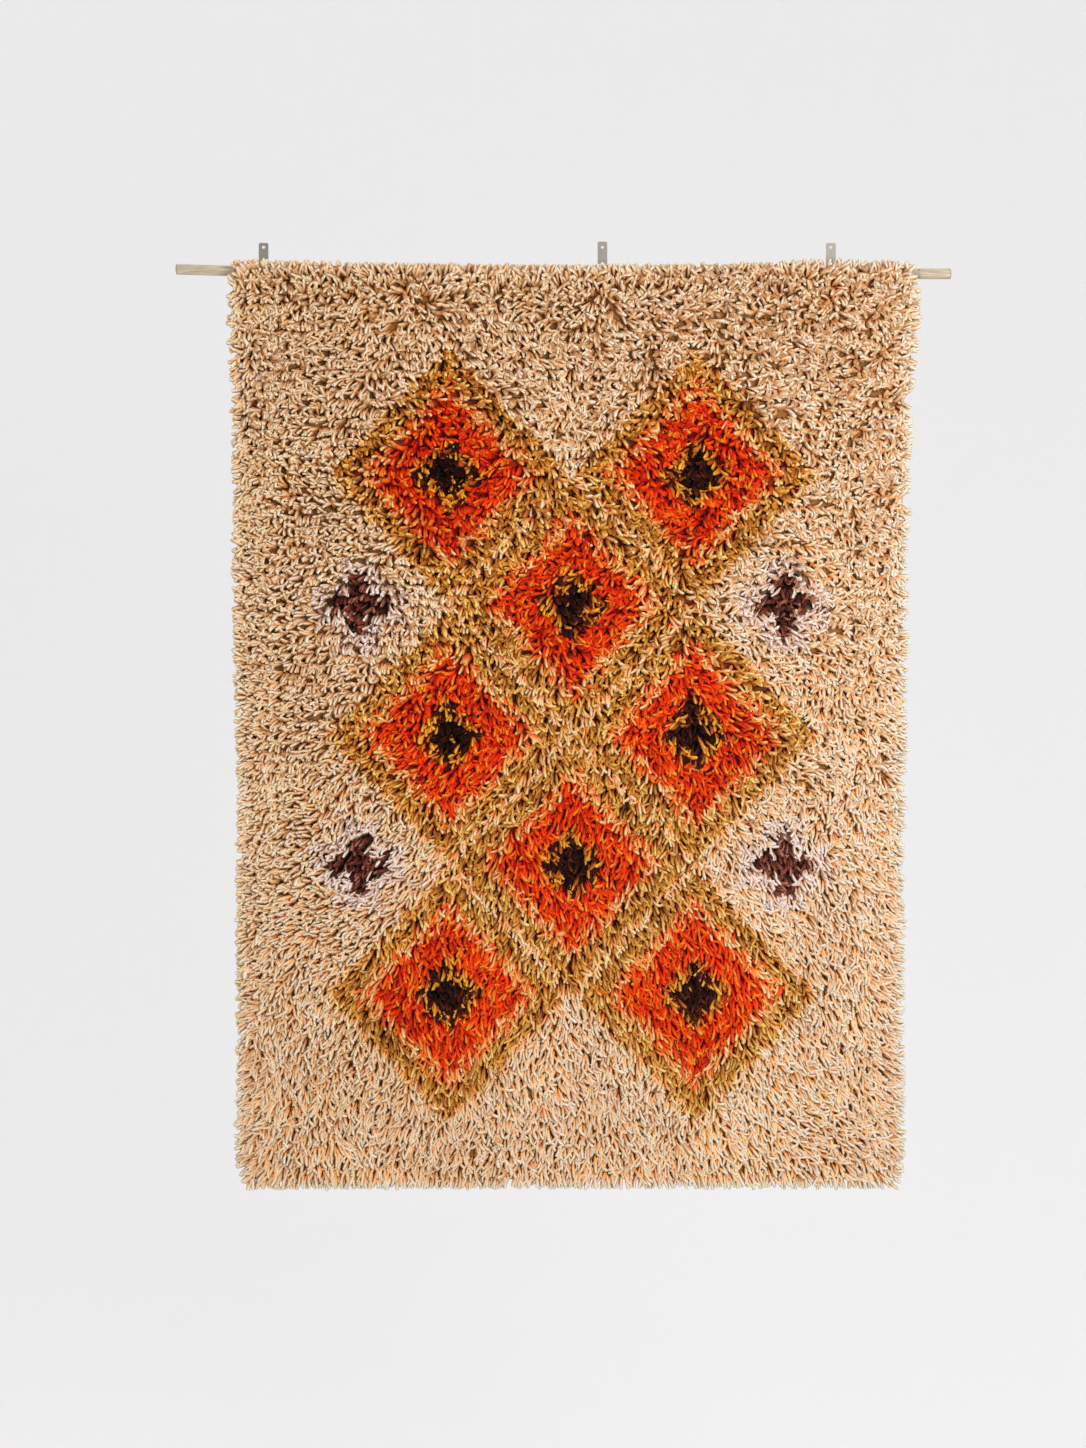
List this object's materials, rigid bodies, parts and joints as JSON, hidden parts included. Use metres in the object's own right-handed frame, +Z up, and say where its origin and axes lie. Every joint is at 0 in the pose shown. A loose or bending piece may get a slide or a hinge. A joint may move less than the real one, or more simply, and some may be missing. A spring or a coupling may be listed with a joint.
{
  "type": "shag wall hanging on a wooden rod",
  "caption": "Thick shag textile with a rod pocket along its top, hung on a round wooden rod in flat steel wall hooks, with a lattice of stepped lozenges.",
  "frame": {"origin": "on the back face of the middle strip, between its two screw holes, in the plane of the wall", "axes": "+X to the right as the viewer sees it, +Y into the wall, +Z up"},
  "size_m": [1.609, 0.0686, 1.9702],
  "materials": {
    "pile": "long wool pile, matte",
    "rod": "weathered pale wood",
    "strip": "dull brushed"
  },
  "bodies": {
    "root": {"rug": "pile", "rod": "rod", "bracket_left": "strip", "bracket_middle": "strip", "bracket_right": "strip"}
  },
  "joints": []
}
